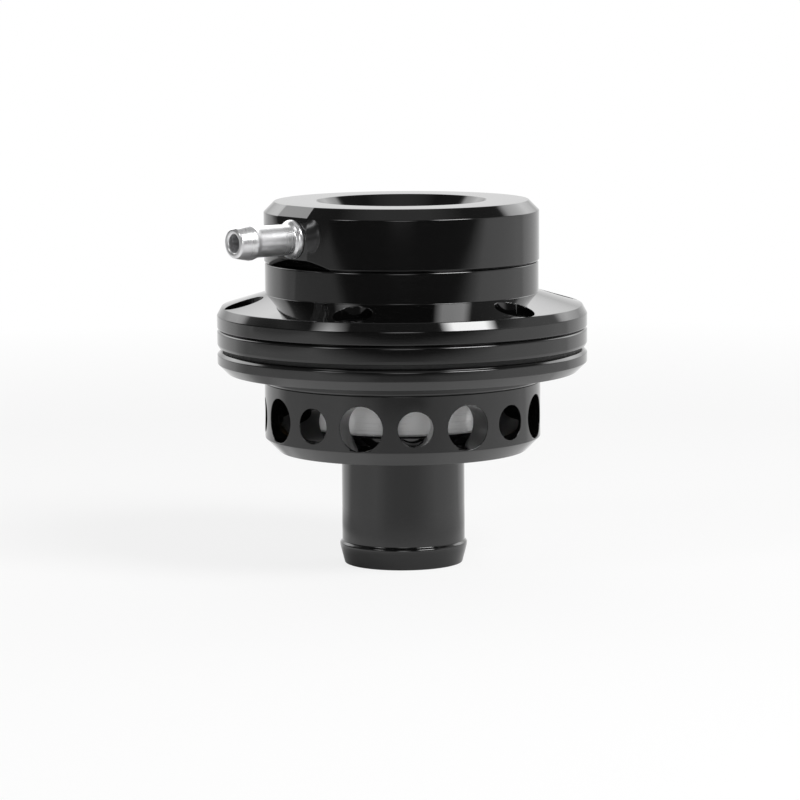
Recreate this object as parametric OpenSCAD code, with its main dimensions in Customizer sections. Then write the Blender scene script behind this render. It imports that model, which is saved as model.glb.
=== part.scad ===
// Diaphragm blow off valve, standing on its hose spigot.
// Millimetres, +Z up along the valve's axis, origin at the centre of the spigot's lower rim.
// One large vent hole and one flange screw lie on -Y. The vacuum nipple leans from -Y towards -X.

/* [Hose spigot] */
// Outside diameter of the spigot that takes the hose
spigot_d = 25; // [22:0.5:30]
// Length of the spigot below the vent chamber
spigot_l = 23.2; // [18:0.1:32]
// Wall thickness of the spigot
spigot_wall = 2; // [1.5:0.1:3]
// Rise of the hose bead above the spigot, on each side
bead_rise = 0.45; // [0.2:0.05:1]
// Height of the bead's crest above the rim
bead_z = 3.6; // [2.5:0.1:6]
// Length of the bead's straight crest
bead_land = 0.6; // [0.4:0.1:1.5]
// How far the rim is drawn in from the spigot, on each side
rim_draw = 0.5; // [0.2:0.1:1]

/* [Vent chamber] */
// Outside diameter of the vent chamber
chamber_d = 56; // [52:0.5:64]
// Height of the vent chamber up to the lower flange
chamber_h = 16.1; // [15:0.1:22]
// Wall thickness of the vent chamber
chamber_wall = 4; // [3:0.1:4.5]
// Thickness of the chamber's floor
chamber_floor = 2.9; // [2.2:0.1:4]
// Chamfer round the chamber's lower edge
chamber_chamfer = 2.8; // [1:0.1:3.3]
// Number of vent holes, large and small by turns
vent_count = 16; // [12:2:16]
// Diameter of the large vent holes
vent_large_d = 8.9; // [7.5:0.1:9.4]
// Diameter of the small vent holes
vent_small_d = 7; // [5:0.1:7.4]
// Height of the vent holes' centres above the chamber's underside
vent_z = 7.5; // [7.3:0.1:7.9]

/* [Valve] */
// Travel of the valve from shut to fully open
valve_lift = 6; // [4:0.1:7]
// Outside diameter of the piston
piston_d = 41; // [38:0.5:43]
// Wall thickness of the piston's skirt
piston_wall = 3; // [2:0.1:4]
// Thickness of the piston's closed end
piston_floor = 3.2; // [2.8:0.1:4.5]
// Diameter of the piston's centre boss
boss_d = 13; // [11:0.5:16]
// Height of the valve seat above the chamber's floor
seat_h = 1.9; // [1.5:0.1:3]
// Width of the flat land on the valve seat
seat_land = 3; // [2.2:0.1:4]
// Width of the rubber seal in the piston's face
face_seal_w = 1.8; // [1.2:0.1:2]
// Thickness of the rubber seal in the piston's face
face_seal_t = 1.4; // [1:0.1:1.8]

/* [Piston guide] */
// Height of the bush that guides the piston
bush_h = 3.3; // [2.6:0.1:3.6]
// Width of the shoulder that the bush stands on
bush_shoulder = 1.5; // [1:0.1:2]
// Thickness of the bush's retaining ring
retainer_t = 1; // [0.8:0.1:1.2]
// Radial width of the bush's retaining ring
retainer_w = 2.6; // [2:0.1:3]
// Radial depth of the wiper ring in the bush
wiper_w = 1.5; // [1:0.1:2]
// Thickness of the wiper ring
wiper_t = 1; // [0.8:0.1:1.4]

/* [Diaphragm] */
// Thickness of the diaphragm
diaphragm_t = 0.8; // [0.6:0.1:1.2]
// Free width of the diaphragm between its plates and its clamp
diaphragm_free = 6; // [5:0.1:7]
// How far the diaphragm's edge lies inside the flanges
diaphragm_inset = 1.1; // [0.5:0.1:1.6]
// Thickness of the plate under the diaphragm
lower_plate_t = 1.2; // [1:0.1:2]
// Thickness of the plate above the diaphragm
upper_plate_t = 1.5; // [1:0.1:2.5]
// Height of the rim that centres the spring on the upper plate
spring_rim_h = 2.5; // [1.5:0.1:4]

/* [Flanges] */
// Height of the lower flange's neck on top of the vent chamber
neck_h = 2.05; // [1.5:0.05:2.2]
// Step of that neck over the vent chamber, on each side
neck_step = 0.45; // [0.2:0.05:0.8]
// Thickness of the lower flange
lower_flange_t = 4.4; // [3.5:0.1:6]
// Bevel under the lower flange
flange_bevel = 1.95; // [1:0.05:2.6]
// Thickness of the clamp ring between the flanges
ring_t = 3.6; // [2.5:0.1:5]
// Height of the upper flange's straight band
band_h = 3.15; // [2.6:0.05:5]
// Height of the steep bevel above that band
bevel_h = 1.4; // [1:0.1:3]
// Width of the steep bevel
bevel_w = 0.8; // [0.6:0.1:2]
// Rise of the cone from the bevel to the collar
cone_h = 2.65; // [1.5:0.05:4]
// Width of the sealing land between the chamber and the screw holes
seal_land = 3.25; // [2.6:0.05:4]
// Distance from the screw circle to the flanges' edge
screw_edge = 5; // [4.6:0.1:6.5]
// Chamfer on the lower flange's upper edge
flange_chamfer = 0.65; // [0.3:0.05:0.9]
// Height of the steep chamfer under the clamp ring
ring_chamfer_h = 0.65; // [0.3:0.05:0.9]
// Width of that chamfer
ring_chamfer_w = 0.3; // [0.15:0.05:0.5]
// Edge break on the flanges
edge_break = 0.4; // [0.2:0.05:0.6]
// Section diameter of the O-ring on the clamp ring
ring_seal_d = 1.4; // [1:0.1:1.6]

/* [Flange screws] */
// Number of flange screws
screw_count = 6; // [4:1:8]
// Thread diameter of the flange screws
screw_d = 4; // [3:0.5:5]
// Length of the flange screws under the head
screw_l = 10; // [8:0.5:12]
// Head diameter of the flange screws
screw_head_d = 7; // [6:0.1:7.4]
// Head height of the flange screws
screw_head_h = 2; // [1.6:0.1:3]
// Diameter of the counterbores for the heads
counterbore_d = 7.8; // [7.5:0.1:8.6]
// Thickness of the flange under the heads
counterbore_web = 1.8; // [1.4:0.1:2.6]

/* [Collar and cap] */
// Outside diameter of the collar
collar_d = 55.4; // [52:0.1:58]
// Height of the collar
collar_h = 6.2; // [5:0.1:10]
// Wall thickness of the collar
collar_wall = 2.7; // [2.2:0.1:3.4]
// Outside diameter of the cap
cap_d = 55.7; // [54:0.1:60]
// Height of the cap above the collar
cap_h = 12.35; // [11.5:0.05:16]
// Chamfer round the cap's upper edge
cap_chamfer = 2.1; // [1:0.1:3]
// Chamfer round the cap's lower edge
cap_foot = 0.4; // [0.2:0.05:0.8]
// Diameter of the round dish in the cap's top
dish_d = 34.5; // [28:0.5:36]
// Depth of the dish
dish_depth = 6; // [4:0.1:6.5]
// How much the dish narrows to its floor, on each side
dish_draw = 1.2; // [0:0.1:2.5]
// Thickness of the cap under the dish
cap_roof = 3; // [2.5:0.1:4]
// Length of the cap's threaded skirt inside the collar
skirt_l = 5.5; // [4.5:0.1:6]
// Wall thickness of the cap's skirt
skirt_wall = 3.4; // [2.8:0.1:4]
// Section diameter of the O-ring on the cap's skirt
cap_seal_d = 1.4; // [1:0.1:1.6]

/* [Vacuum nipple] */
// Angle of the nipple from -Y towards -X
nipple_angle = 34.5; // [0:0.5:90]
// Height of the nipple's axis above the cap's underside
nipple_z = 5.9; // [5:0.1:6.2]
// Length of the nipple outside the cap
nipple_l = 14.4; // [10:0.1:20]
// Outside diameter of the nipple's tube
nipple_d = 6.2; // [5.6:0.1:6.6]
// Bore of the nipple
nipple_bore = 3.6; // [2.5:0.1:4]
// Diameter of the nipple's barb
barb_d = 7.1; // [6.8:0.1:8]
// Diameter of the nipple's tip
tip_d = 6; // [5:0.1:6]
// Diameter of the nipple's foot on the cap
foot_d = 7.8; // [7:0.1:8.5]
// Length of the nipple's thread inside the cap
nipple_thread_l = 5; // [4:0.1:5.4]
// Thread diameter of the nipple
nipple_thread_d = 5.6; // [5:0.1:6]
// Diameter of the drilling from the nipple's bore down into the cap
port_d = 2.8; // [2:0.1:3.2]
// Depth of the milled flat that the nipple stands on
flat_depth = 0.4; // [0.3:0.05:0.9]
// Height of the slanted foot under the milled flat
flat_foot = 1.9; // [1:0.1:2.2]

/* [Spring and centre screw] */
// Mean diameter of the coil spring
spring_d = 30; // [28:0.5:34]
// Wire diameter of the coil spring
wire_d = 2.2; // [1.6:0.1:2.4]
// Number of turns, with the two closed ends
spring_turns = 6.5; // [5.5:0.5:7]
// Thickness of the washer between spring and cap
spring_seat_t = 1; // [0.6:0.1:1.5]
// Thread diameter of the centre screw
centre_d = 5; // [4:0.5:6]
// Head diameter of the centre screw
centre_head_d = 8.5; // [7.5:0.1:10]
// Head height of the centre screw
centre_head_h = 5; // [3:0.1:6]
// Outside diameter of the washer under the centre screw
washer_d = 12; // [11:0.5:16]
// Thickness of the washer under the centre screw
washer_t = 1; // [0.8:0.1:1.6]
// Outside diameter of the threaded insert in the piston
insert_d = 7; // [6.6:0.1:8]
// Length of the threaded insert
insert_l = 6.5; // [5:0.1:7]

/* [Fits] */
// Running clearance between the piston and its guide, on each side
running_fit = 0.06; // [0.03:0.01:0.1]
// Clearance of a thread or a pressed ring, on each side
thread_fit = 0.05; // [0.02:0.01:0.1]
// Clearance of a screw or a washer in its hole, on each side
hole_fit = 0.25; // [0.15:0.05:0.4]
// Gap between the shut valve and its seat
seat_gap = 0.1; // [0.05:0.05:0.2]
// Gap between the lower plate and the bush when the valve is shut
plate_gap = 0.5; // [0.3:0.1:0.8]

/* [Hidden] */
$fn = 96;
// Overshoot of a cut past the face that it opens
over = 1;

// Heights, from the rim upwards
chamber_z = spigot_l;
floor_z = chamber_z + chamber_floor;
seat_z = floor_z + seat_h;
flange_z = chamber_z + chamber_h;
joint_z = flange_z + lower_flange_t;
ring_z = joint_z + diaphragm_t;
upper_z = ring_z + ring_t;
bevel_z = upper_z + band_h;
cone_z = bevel_z + bevel_h;
collar_z = cone_z + cone_h;
cap_z = collar_z + collar_h;
top_z = cap_z + cap_h;
dish_z = top_z - dish_depth;
roof_z = dish_z - cap_roof;
vents_z = chamber_z + vent_z;

// Heights of the moving pieces with the valve shut: the diaphragm hangs half the lift below its clamp
drop = valve_lift / 2;
hub_z = joint_z - drop;
plate_z = hub_z - lower_plate_t;
upper_plate_z = hub_z + diaphragm_t;
spring_z = upper_plate_z + upper_plate_t;
spring_top = roof_z - spring_seat_t;
seal_z = seat_z + seat_gap;
seal_proud = 0.2;
piston_z = seal_z + seal_proud;
insert_z = plate_z - insert_l;
head_z = spring_z + washer_t;
centre_tip_z = insert_z + 1;

// Heights of the piston's guide
bush_top = plate_z - plate_gap;
bush_z = bush_top - bush_h;
retainer_top = bush_top + retainer_t;
retainer_land = 0.7;
cavity_z = retainer_top + retainer_land;
seam_land = 0.8;
seam_z = max(flange_z - neck_h, bush_z + seam_land);

// Radii, from the chamber outwards
spigot_r = spigot_d / 2;
bore_r = spigot_r - spigot_wall;
chamber_r = chamber_d / 2;
chamber_in = chamber_r - chamber_wall;
piston_r = piston_d / 2;
seat_in = piston_r - seat_land;
bush_r = chamber_in + bush_shoulder;
bush_in = piston_r + running_fit;
retainer_r = bush_r + 0.9;
cavity_r = bush_r + 1.5;
plate_r = cavity_r - diaphragm_free;
screw_hole_r = screw_d / 2 + hole_fit;
screw_circle_r = cavity_r + seal_land + screw_hole_r;
flange_r = screw_circle_r + screw_edge;
cone_r = flange_r - bevel_w;
diaphragm_r = flange_r - diaphragm_inset;
ring_seal_r = cavity_r + seal_land / 2;
collar_r = collar_d / 2;
collar_in = collar_r - collar_wall;
relief_r = collar_in + 0.8;
skirt_r = collar_in - thread_fit;
skirt_in = skirt_r - skirt_wall;
cap_r = cap_d / 2;
dish_r = dish_d / 2;
flat_r = cap_r - flat_depth;

// Places of the nipple, its drilling and the flange screws
nipple_axis_z = cap_z + nipple_z;
port_wall = 0.3;
port_at = skirt_in - port_wall - port_d / 2;
port_end = port_at - port_d / 2 - port_wall;
counterbore_z = upper_z + counterbore_web;
screw_angles = [for (i = [0 : screw_count - 1]) -90 + i * 360 / screw_count];
vent_angles = [for (i = [0 : vent_count - 1]) -90 + i * 360 / vent_count];

// Finishes
black = "#1c1c1e";
silver = "#c9cacc";
steel = "#9a9b9e";
rubber = "#2a2a2b";
bronze = "#b08d57";

// A ring of rectangular section
module ring(r_in, r_out, z, h) {
    translate([0, 0, z]) difference() {
        cylinder(r = r_out, h = h);
        translate([0, 0, -over]) cylinder(r = r_in, h = h + 2 * over);
    }
}

// A ring of round section
module o_ring(mean_r, section_d, z) {
    translate([0, 0, z]) rotate_extrude() translate([mean_r, 0]) circle(d = section_d, $fn = 24);
}

// Its children once at each flange screw
module at_screws() {
    for (a = screw_angles) rotate(a) translate([screw_circle_r, 0, 0]) children();
}

// Its children along the nipple's axis, with +Z pointing out of the cap and zero on the milled flat
module at_nipple() {
    rotate(-90 - nipple_angle) translate([flat_r, 0, nipple_axis_z]) rotate([0, 90, 0]) children();
}

// A socket head screw with its head's seat at zero and its shank below
module socket_screw(d, length, head_d, head_h) {
    socket_d = 0.6 * d / cos(30);
    head_break = 0.06 * head_d;
    difference() {
        rotate_extrude() polygon([
            [0, -length], [d / 2 - head_break, -length], [d / 2, head_break - length], [d / 2, 0],
            [head_d / 2, 0], [head_d / 2, head_h - head_break], [head_d / 2 - head_break, head_h],
            [0, head_h]
        ]);
        translate([0, 0, head_h / 2]) cylinder(d = socket_d, h = head_h, $fn = 6);
    }
}

// Spigot with its hose bead, screwed into the vent chamber's floor, with the valve seat on its inner end
module hose_spigot() {
    crest_r = spigot_r + bead_rise;
    neck_z = bead_z + bead_land + bead_rise;
    flare_z = chamber_z + 1;
    color(black) rotate_extrude() polygon([
        [bore_r, 0], [spigot_r - rim_draw, 0], [crest_r, bead_z], [crest_r, bead_z + bead_land],
        [spigot_r, neck_z], [spigot_r, chamber_z], [piston_r, chamber_z], [piston_r, seat_z],
        [seat_in, seat_z], [bore_r, flare_z]
    ]);
}

// Ring shaped chamber with its vent holes and the shoulder for the bush
module vent_chamber() {
    thread_r = piston_r + thread_fit;
    color(black) difference() {
        rotate_extrude() polygon([
            [thread_r, chamber_z], [chamber_r - chamber_chamfer, chamber_z],
            [chamber_r, chamber_z + chamber_chamfer], [chamber_r, seam_z], [bush_r, seam_z],
            [bush_r, bush_z], [chamber_in, bush_z], [chamber_in, floor_z], [thread_r, floor_z]
        ]);
        for (i = [0 : vent_count - 1])
            rotate(vent_angles[i]) translate([0, 0, vents_z]) rotate([0, 90, 0])
                translate([0, 0, piston_r])
                    cylinder(d = i % 2 == 0 ? vent_large_d : vent_small_d, h = chamber_r, $fn = 64);
    }
}

// Lower flange, with the groove for the bush's retaining ring and the tapped holes
module lower_flange() {
    color(black) difference() {
        rotate_extrude() polygon([
            [bush_r, seam_z], [chamber_r, seam_z], [chamber_r + neck_step, seam_z + neck_step],
            [chamber_r + neck_step, flange_z], [flange_r - flange_bevel, flange_z],
            [flange_r, flange_z + flange_bevel], [flange_r, joint_z - flange_chamfer],
            [flange_r - flange_chamfer, joint_z], [cavity_r, joint_z],
            [cavity_r, cavity_z + cavity_r - bush_r], [bush_r, cavity_z], [bush_r, retainer_top],
            [retainer_r, retainer_top], [retainer_r, bush_top], [bush_r, bush_top]
        ]);
        at_screws() translate([0, 0, flange_z - over])
            cylinder(r = screw_d / 2 + thread_fit, h = lower_flange_t + 2 * over, $fn = 32);
    }
}

// Bronze bush that guides the piston, with a groove for the wiper
module guide_bush() {
    groove_z = bush_z + (bush_h - wiper_t) / 2;
    color(bronze) difference() {
        ring(bush_in, bush_r - thread_fit, bush_z, bush_h);
        ring(over, bush_in + wiper_w, groove_z, wiper_t);
    }
}

// Wiper ring in the bush's groove
module piston_wiper() {
    color(rubber)
        ring(bush_in, bush_in + wiper_w - thread_fit, bush_z + (bush_h - wiper_t) / 2, wiper_t);
}

// Split ring that holds the bush down
module bush_retaining_ring() {
    split_w = 5;
    color(steel) difference() {
        ring(retainer_r - retainer_w, retainer_r - thread_fit, bush_top, retainer_t);
        translate([0, -split_w / 2, bush_top - over])
            cube([retainer_r + over, split_w, retainer_t + 2 * over]);
    }
}

// Cup shaped piston that shuts the seat with its closed end
module valve_piston() {
    skirt_in_r = piston_r - piston_wall;
    floor_top = piston_z + piston_floor;
    seal_mid = piston_r - seat_land / 2;
    groove_w = face_seal_w / 2 + thread_fit;
    color(silver) difference() {
        rotate_extrude() polygon([
            [0, piston_z], [piston_r - edge_break, piston_z], [piston_r, piston_z + edge_break],
            [piston_r, plate_z], [skirt_in_r, plate_z], [skirt_in_r, floor_top],
            [boss_d / 2, floor_top], [boss_d / 2, plate_z], [0, plate_z]
        ]);
        ring(seal_mid - groove_w, seal_mid + groove_w, piston_z - over,
            face_seal_t - seal_proud + over);
        translate([0, 0, insert_z]) cylinder(d = insert_d + 2 * thread_fit, h = insert_l + over);
    }
}

// Rubber ring in the piston's face
module piston_face_seal() {
    seal_mid = piston_r - seat_land / 2;
    color(rubber) ring(seal_mid - face_seal_w / 2, seal_mid + face_seal_w / 2, seal_z, face_seal_t);
}

// Threaded insert in the piston's boss
module threaded_insert() {
    color(bronze) ring(centre_d / 2 + thread_fit, insert_d / 2, insert_z, insert_l);
}

// Plate between the piston and the diaphragm
module lower_diaphragm_plate() {
    color(silver) ring(centre_d / 2 + hole_fit, plate_r, plate_z, lower_plate_t);
}

// Rubber diaphragm, clamped at its edge and dished down to its plates
module diaphragm() {
    hole_r = centre_d / 2 + hole_fit;
    color(rubber) difference() {
        rotate_extrude() polygon([
            [hole_r, hub_z], [plate_r, hub_z], [cavity_r, joint_z], [diaphragm_r, joint_z],
            [diaphragm_r, ring_z], [cavity_r, ring_z], [plate_r, upper_plate_z], [hole_r, upper_plate_z]
        ]);
        at_screws() translate([0, 0, joint_z - over])
            cylinder(r = screw_hole_r, h = diaphragm_t + 2 * over, $fn = 32);
    }
}

// Plate above the diaphragm, with a rim that centres the spring
module upper_diaphragm_plate() {
    hole_r = centre_d / 2 + hole_fit;
    rim_r = (spring_d - wire_d) / 2 - 4 * hole_fit;
    rim_w = 2.4;
    color(silver) rotate_extrude() polygon([
        [hole_r, upper_plate_z], [plate_r, upper_plate_z], [plate_r, spring_z], [rim_r, spring_z],
        [rim_r, spring_z + spring_rim_h], [rim_r - rim_w, spring_z + spring_rim_h],
        [rim_r - rim_w, spring_z], [hole_r, spring_z]
    ]);
}

// Washer under the centre screw
module centre_washer() {
    color(steel) ring(centre_d / 2 + hole_fit, washer_d / 2, spring_z, washer_t);
}

// Screw that clamps the plates and the diaphragm to the piston
module centre_screw() {
    color(steel) translate([0, 0, head_z])
        socket_screw(centre_d, head_z - centre_tip_z, centre_head_d, centre_head_h);
}

// Coil spring with closed ends, swept along its helix
module main_spring() {
    sides = 8;
    steps_per_turn = 24;
    steps = spring_turns * steps_per_turn;
    wire_r = wire_d / 2;
    bottom = spring_z + wire_r;
    climb = spring_top - spring_z - wire_d;
    closed_pitch = wire_d + thread_fit;
    open_turns = spring_turns - 2;
    open_pitch = (climb - 2 * closed_pitch) / open_turns;
    function rise(turn) = turn <= 1 ? turn * closed_pitch
        : turn <= 1 + open_turns ? closed_pitch + (turn - 1) * open_pitch
        : closed_pitch + open_turns * open_pitch + (turn - 1 - open_turns) * closed_pitch;
    points = [for (i = [0 : steps]) for (k = [0 : sides - 1])
        let (turn = i / steps_per_turn, a = 360 * turn, b = 360 * k / sides,
            r = spring_d / 2 + wire_r * cos(b))
        [r * cos(a), r * sin(a), bottom + rise(turn) + wire_r * sin(b)]];
    walls = [for (i = [0 : steps - 1]) for (k = [0 : sides - 1])
        let (n = (k + 1) % sides)
        [i * sides + k, i * sides + n, (i + 1) * sides + n, (i + 1) * sides + k]];
    start = [[for (k = [0 : sides - 1]) sides - 1 - k]];
    end = [[for (k = [0 : sides - 1]) steps * sides + k]];
    color(steel) polyhedron(points, concat(walls, start, end));
}

// Washer between the spring and the cap
module spring_seat() {
    margin = 0.6;
    color(steel) ring((spring_d - wire_d) / 2 - margin, (spring_d + wire_d) / 2 + margin,
        spring_top, spring_seat_t);
}

// Ring that clamps the diaphragm, with a groove for its O-ring
module clamp_ring() {
    groove_w = ring_seal_d / 2 + thread_fit;
    color(black) difference() {
        rotate_extrude() polygon([
            [cavity_r, ring_z], [flange_r - ring_chamfer_w, ring_z], [flange_r, ring_z + ring_chamfer_h],
            [flange_r, upper_z - edge_break], [flange_r - edge_break, upper_z], [cavity_r, upper_z]
        ]);
        ring(ring_seal_r - groove_w, ring_seal_r + groove_w, upper_z - ring_seal_d - thread_fit,
            ring_seal_d + over);
        at_screws() translate([0, 0, ring_z - over])
            cylinder(r = screw_hole_r, h = ring_t + 2 * over, $fn = 32);
    }
}

// O-ring between the clamp ring and the upper housing
module housing_o_ring() {
    color(rubber) o_ring(ring_seal_r, ring_seal_d, upper_z - ring_seal_d / 2 - thread_fit);
}

// Screws that hold the flanges together
module flange_screws() {
    color(steel) at_screws() translate([0, 0, counterbore_z])
        socket_screw(screw_d, screw_l, screw_head_d, screw_head_h);
}

// Upper flange, cone and collar in one piece
module upper_housing() {
    thread_z = cap_z - skirt_l - over;
    color(black) difference() {
        rotate_extrude() polygon([
            [relief_r, upper_z], [flange_r - edge_break, upper_z], [flange_r, upper_z + edge_break],
            [flange_r, bevel_z], [cone_r, cone_z], [collar_r, collar_z],
            [collar_r, cap_z - edge_break / 2], [collar_r - edge_break / 2, cap_z], [collar_in, cap_z],
            [collar_in, thread_z], [relief_r, thread_z - (relief_r - collar_in)]
        ]);
        at_screws() {
            translate([0, 0, upper_z - over]) cylinder(r = screw_hole_r, h = counterbore_web + 2 * over, $fn = 32);
            translate([0, 0, counterbore_z]) cylinder(d = counterbore_d, h = collar_z - upper_z);
        }
    }
}

// O-ring in the groove of the cap's skirt
module cap_o_ring() {
    color(rubber) o_ring(skirt_r - cap_seal_d / 2, cap_seal_d, cap_z - cap_seal_d);
}

// Cap with its threaded skirt, dished top, milled flat and drilling for the nipple
module top_cap() {
    skirt_z = cap_z - skirt_l;
    groove_w = cap_seal_d / 2 + thread_fit;
    flat_w = cap_d;
    foot_wall = 0.3;
    foot_h = min(flat_foot, flat_r - skirt_r - foot_wall);
    foot_cut = sqrt(2) * (foot_h + foot_wall / 2);
    color(black) difference() {
        rotate_extrude() polygon([
            [skirt_in, skirt_z], [skirt_r - edge_break, skirt_z], [skirt_r, skirt_z + edge_break],
            [skirt_r, cap_z - cap_seal_d - groove_w], [skirt_r - 2 * groove_w, cap_z - cap_seal_d - groove_w],
            [skirt_r - 2 * groove_w, cap_z - cap_seal_d + groove_w], [skirt_r, cap_z - cap_seal_d + groove_w],
            [skirt_r, cap_z], [cap_r - cap_foot, cap_z], [cap_r, cap_z + cap_foot],
            [cap_r, top_z - cap_chamfer], [cap_r - cap_chamfer, top_z], [dish_r, top_z],
            [dish_r - dish_draw, dish_z], [0, dish_z], [0, roof_z], [skirt_in, roof_z]
        ]);
        rotate(-90 - nipple_angle) {
            translate([flat_r, -flat_w / 2, cap_z - over]) cube([cap_d, flat_w, cap_h + 2 * over]);
            translate([flat_r, 0, top_z - cap_chamfer - edge_break / 4]) rotate([0, -45, 0])
                translate([0, -flat_w / 2, -over]) cube([cap_d, flat_w, cap_h]);
            translate([flat_r, 0, cap_z + foot_h]) rotate([0, 45, 0])
                translate([0, -flat_w / 2, -foot_cut]) cube([cap_d, flat_w, foot_cut]);
        }
        at_nipple() {
            translate([0, 0, -nipple_thread_l])
                cylinder(d = nipple_thread_d + 2 * thread_fit, h = nipple_thread_l + over);
            translate([0, 0, port_end - flat_r])
                cylinder(d = nipple_bore, h = flat_r - port_end - nipple_thread_l + over);
        }
        rotate(-90 - nipple_angle) translate([port_at, 0, roof_z - over])
            cylinder(d = port_d, h = nipple_axis_z - roof_z + over);
    }
}

// Barbed nipple for the vacuum hose, turned from silver bar
module vacuum_nipple() {
    crest = nipple_l - 3.6;
    crest_land = 0.6;
    barb_end = nipple_l - 5.3;
    foot_l = 1.4;
    tip_break = 0.25;
    tube_r = nipple_d / 2;
    tip_r = tip_d / 2;
    inner_r = nipple_bore / 2;
    color(silver) at_nipple() rotate_extrude() polygon([
        [inner_r, -nipple_thread_l], [nipple_thread_d / 2, -nipple_thread_l], [nipple_thread_d / 2, 0],
        [foot_d / 2, 0], [foot_d / 2 - tip_break, foot_l / 2], [tube_r, foot_l], [tube_r, barb_end],
        [barb_d / 2, crest], [barb_d / 2, crest + crest_land], [tip_r, nipple_l - tip_break],
        [tip_r - tip_break, nipple_l], [inner_r, nipple_l]
    ]);
}

hose_spigot();
vent_chamber();
lower_flange();
guide_bush();
piston_wiper();
bush_retaining_ring();
valve_piston();
piston_face_seal();
threaded_insert();
lower_diaphragm_plate();
diaphragm();
upper_diaphragm_plate();
centre_washer();
centre_screw();
main_spring();
spring_seat();
clamp_ring();
housing_o_ring();
flange_screws();
upper_housing();
cap_o_ring();
top_cap();
vacuum_nipple();
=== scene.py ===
"""Looks of a diaphragm blow off valve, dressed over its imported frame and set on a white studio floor."""

import math

import bmesh
import bpy
from bpy.props import FloatProperty, FloatVectorProperty, IntProperty, PointerProperty
from mathutils import Matrix, Vector


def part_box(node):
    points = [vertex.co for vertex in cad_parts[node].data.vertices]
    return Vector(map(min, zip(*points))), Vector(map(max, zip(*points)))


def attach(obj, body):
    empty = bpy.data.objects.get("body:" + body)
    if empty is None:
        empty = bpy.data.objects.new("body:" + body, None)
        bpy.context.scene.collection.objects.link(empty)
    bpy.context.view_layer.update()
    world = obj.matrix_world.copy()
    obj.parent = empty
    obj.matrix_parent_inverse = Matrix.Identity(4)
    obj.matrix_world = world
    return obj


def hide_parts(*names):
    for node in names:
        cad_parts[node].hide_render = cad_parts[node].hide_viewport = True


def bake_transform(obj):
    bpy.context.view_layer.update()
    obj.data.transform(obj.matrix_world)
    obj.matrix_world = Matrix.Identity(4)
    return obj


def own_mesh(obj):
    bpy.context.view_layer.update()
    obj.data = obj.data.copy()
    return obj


bl_info = {
    "name": "Blow Off Valve",
    "version": (1, 0, 0),
    "blender": (4, 5, 0),
    "location": "View3D > Sidebar > Valve",
    "description": "Dresses a diaphragm blow off valve and sets it in a white studio",
    "category": "Object",
}

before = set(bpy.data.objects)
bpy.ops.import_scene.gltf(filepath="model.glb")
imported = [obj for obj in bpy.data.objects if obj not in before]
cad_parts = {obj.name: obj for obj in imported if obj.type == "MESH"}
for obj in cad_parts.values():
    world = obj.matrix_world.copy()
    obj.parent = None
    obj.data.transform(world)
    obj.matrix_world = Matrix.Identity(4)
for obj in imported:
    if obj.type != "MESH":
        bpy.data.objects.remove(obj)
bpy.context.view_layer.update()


def low(node):
    """Height of a node's lowest point."""
    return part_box(node)[0].z


def top(node):
    """Height of a node's highest point."""
    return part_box(node)[1].z


def radius(node):
    """Largest reach of a node along +X."""
    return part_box(node)[1].x


# Property helpers


def length(name, description, millimetres):
    """A length property, written in millimetres."""
    return FloatProperty(
        name=name, description=description, default=millimetres / 1000, min=0, precision=5, unit="LENGTH"
    )


def turn(name, description, degrees):
    """An angle property, written in degrees."""
    return FloatProperty(
        name=name, description=description, default=math.radians(degrees), subtype="ANGLE"
    )


def colour(name, description, red, green, blue):
    """A colour property."""
    return FloatVectorProperty(
        name=name, description=description, default=(red, green, blue), size=3, min=0, max=1, subtype="COLOR"
    )


def share(name, description, value):
    """A plain number property, such as a roughness or a strength."""
    return FloatProperty(name=name, description=description, default=value, min=0, precision=4)


# Settings


class BodySizes(bpy.types.PropertyGroup):
    """Sizes of the hose spigot, the vent chamber and the lower flange."""

    spigot: length("Spigot", "Radius of the spigot's neck", 12.5)
    bore: length("Bore", "Radius of the spigot's bore", 10.5)
    rim: length("Rim", "Radius of the spigot's lower rim", 12.0)
    bead: length("Bead", "Radius of the hose bead", 12.95)
    bead_z: length("Bead height", "Height of the bead's crest", 3.6)
    bead_land: length("Bead land", "Length of the bead's straight crest", 0.6)
    bead_back: length("Bead back", "Length of the slope behind the bead", 0.45)
    seat_in: length("Seat inside", "Inner radius of the valve seat", 17.5)
    flare: length("Flare", "Height of the bore's straight part above the chamber's underside", 1.0)
    thread_fit: length("Thread fit", "Clearance between the spigot's thread and the chamber", 0.05)
    chamber: length("Chamber", "Radius of the vent chamber", 28.0)
    chamber_in: length("Chamber inside", "Inner radius of the vent chamber", 22.0)
    chamfer: length("Chamfer", "Chamfer round the chamber's lower edge", 2.8)
    floor: length("Floor", "Thickness of the chamber's floor", 2.9)
    bush: length("Bush pocket", "Radius of the pocket for the guide bush", 25.5)
    vent_z: length("Vent height", "Height of the vent holes' centres above the chamber's underside", 7.5)
    vent_large: length("Large vents", "Radius of the large vent holes", 4.45)
    vent_small: length("Small vents", "Radius of the small vent holes", 3.5)
    vent_count: IntProperty(name="Vents", description="Number of vent holes", default=16, min=2)
    neck: length("Neck", "Height of the lower flange's neck on the chamber", 2.05)
    neck_step: length("Neck step", "Step of that neck over the chamber", 0.45)
    flange_bevel: length("Flange bevel", "Bevel under the lower flange", 1.95)
    flange_chamfer: length("Flange chamfer", "Chamfer on the lower flange's upper edge", 0.65)
    groove: length("Ring groove", "Radius of the groove for the bush's retaining ring", 26.4)
    cavity: length("Cavity", "Radius of the cavity under the diaphragm", 27.0)
    cavity_z: length("Cavity height", "Height from the retaining ring to the cavity", 0.7)


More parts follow.
